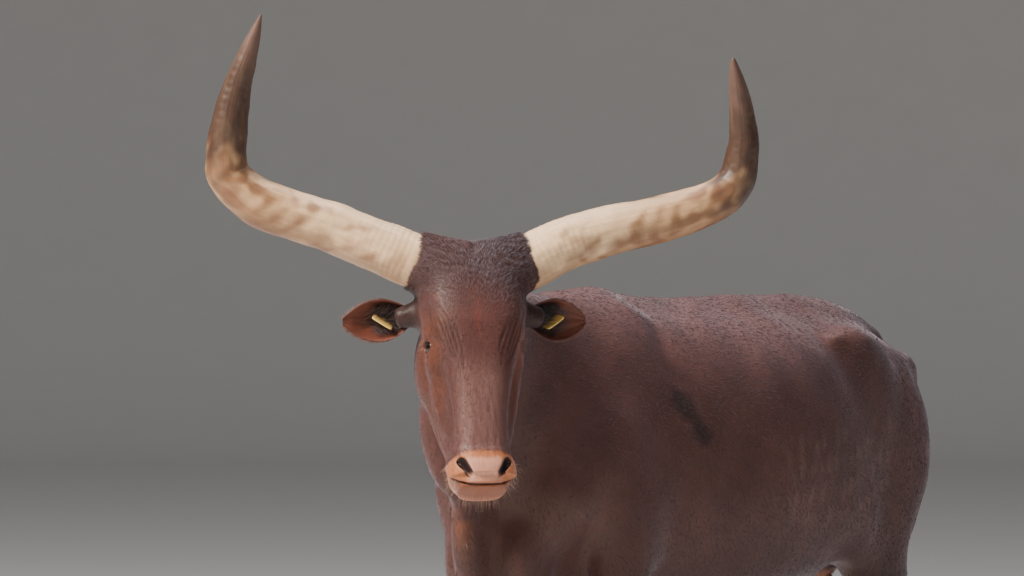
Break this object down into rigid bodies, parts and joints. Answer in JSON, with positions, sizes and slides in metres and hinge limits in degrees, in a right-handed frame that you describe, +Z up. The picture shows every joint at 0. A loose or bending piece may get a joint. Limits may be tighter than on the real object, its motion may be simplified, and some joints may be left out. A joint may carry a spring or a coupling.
{
  "type": "ankole-watusi cow, standing",
  "caption": "Life-size standing long-horned cow with its head turned to its left, split into head, neck, torso, legs, tail, horns, ears, eyes and claws.",
  "frame": {"origin": "on the floor, under the middle of the model's box", "axes": "+Z up; the body faces -Y and the cow's left side is +X; the head is turned 45 degrees to its left"},
  "size_m": [0.8874, 2.256, 1.9548],
  "materials": {
    "coat": "short glossy red-brown hair",
    "ear_coat": "thin short hair over skin",
    "horn": "worn cream horn, browner towards the tips",
    "claw": "dull dark hoof horn",
    "eye": "wet, nearly black",
    "tag": "moulded yellow plastic, blank",
    "switch": "long dark hair",
    "skin": "bare brownish pink skin"
  },
  "bodies": {
    "root": {"claw_fore_left_inner": "claw", "claw_fore_left_outer": "claw", "claw_fore_right_inner": "claw", "claw_fore_right_outer": "claw", "claw_hind_left_inner": "claw", "claw_hind_left_outer": "claw", "claw_hind_right_inner": "claw", "claw_hind_right_outer": "claw", "ear_left": "ear_coat", "ear_right": "ear_coat", "ear_tag_left": "tag", "ear_tag_right": "tag", "eye_left": "eye", "eye_right": "eye", "foreleg_left": "coat", "foreleg_right": "coat", "head": "coat", "hindleg_left": "coat", "hindleg_right": "coat", "horn_left": "horn", "horn_right": "horn", "neck": "coat", "tail": "coat", "tail_switch": "switch", "torso": "coat", "udder": "skin"}
  },
  "joints": []
}
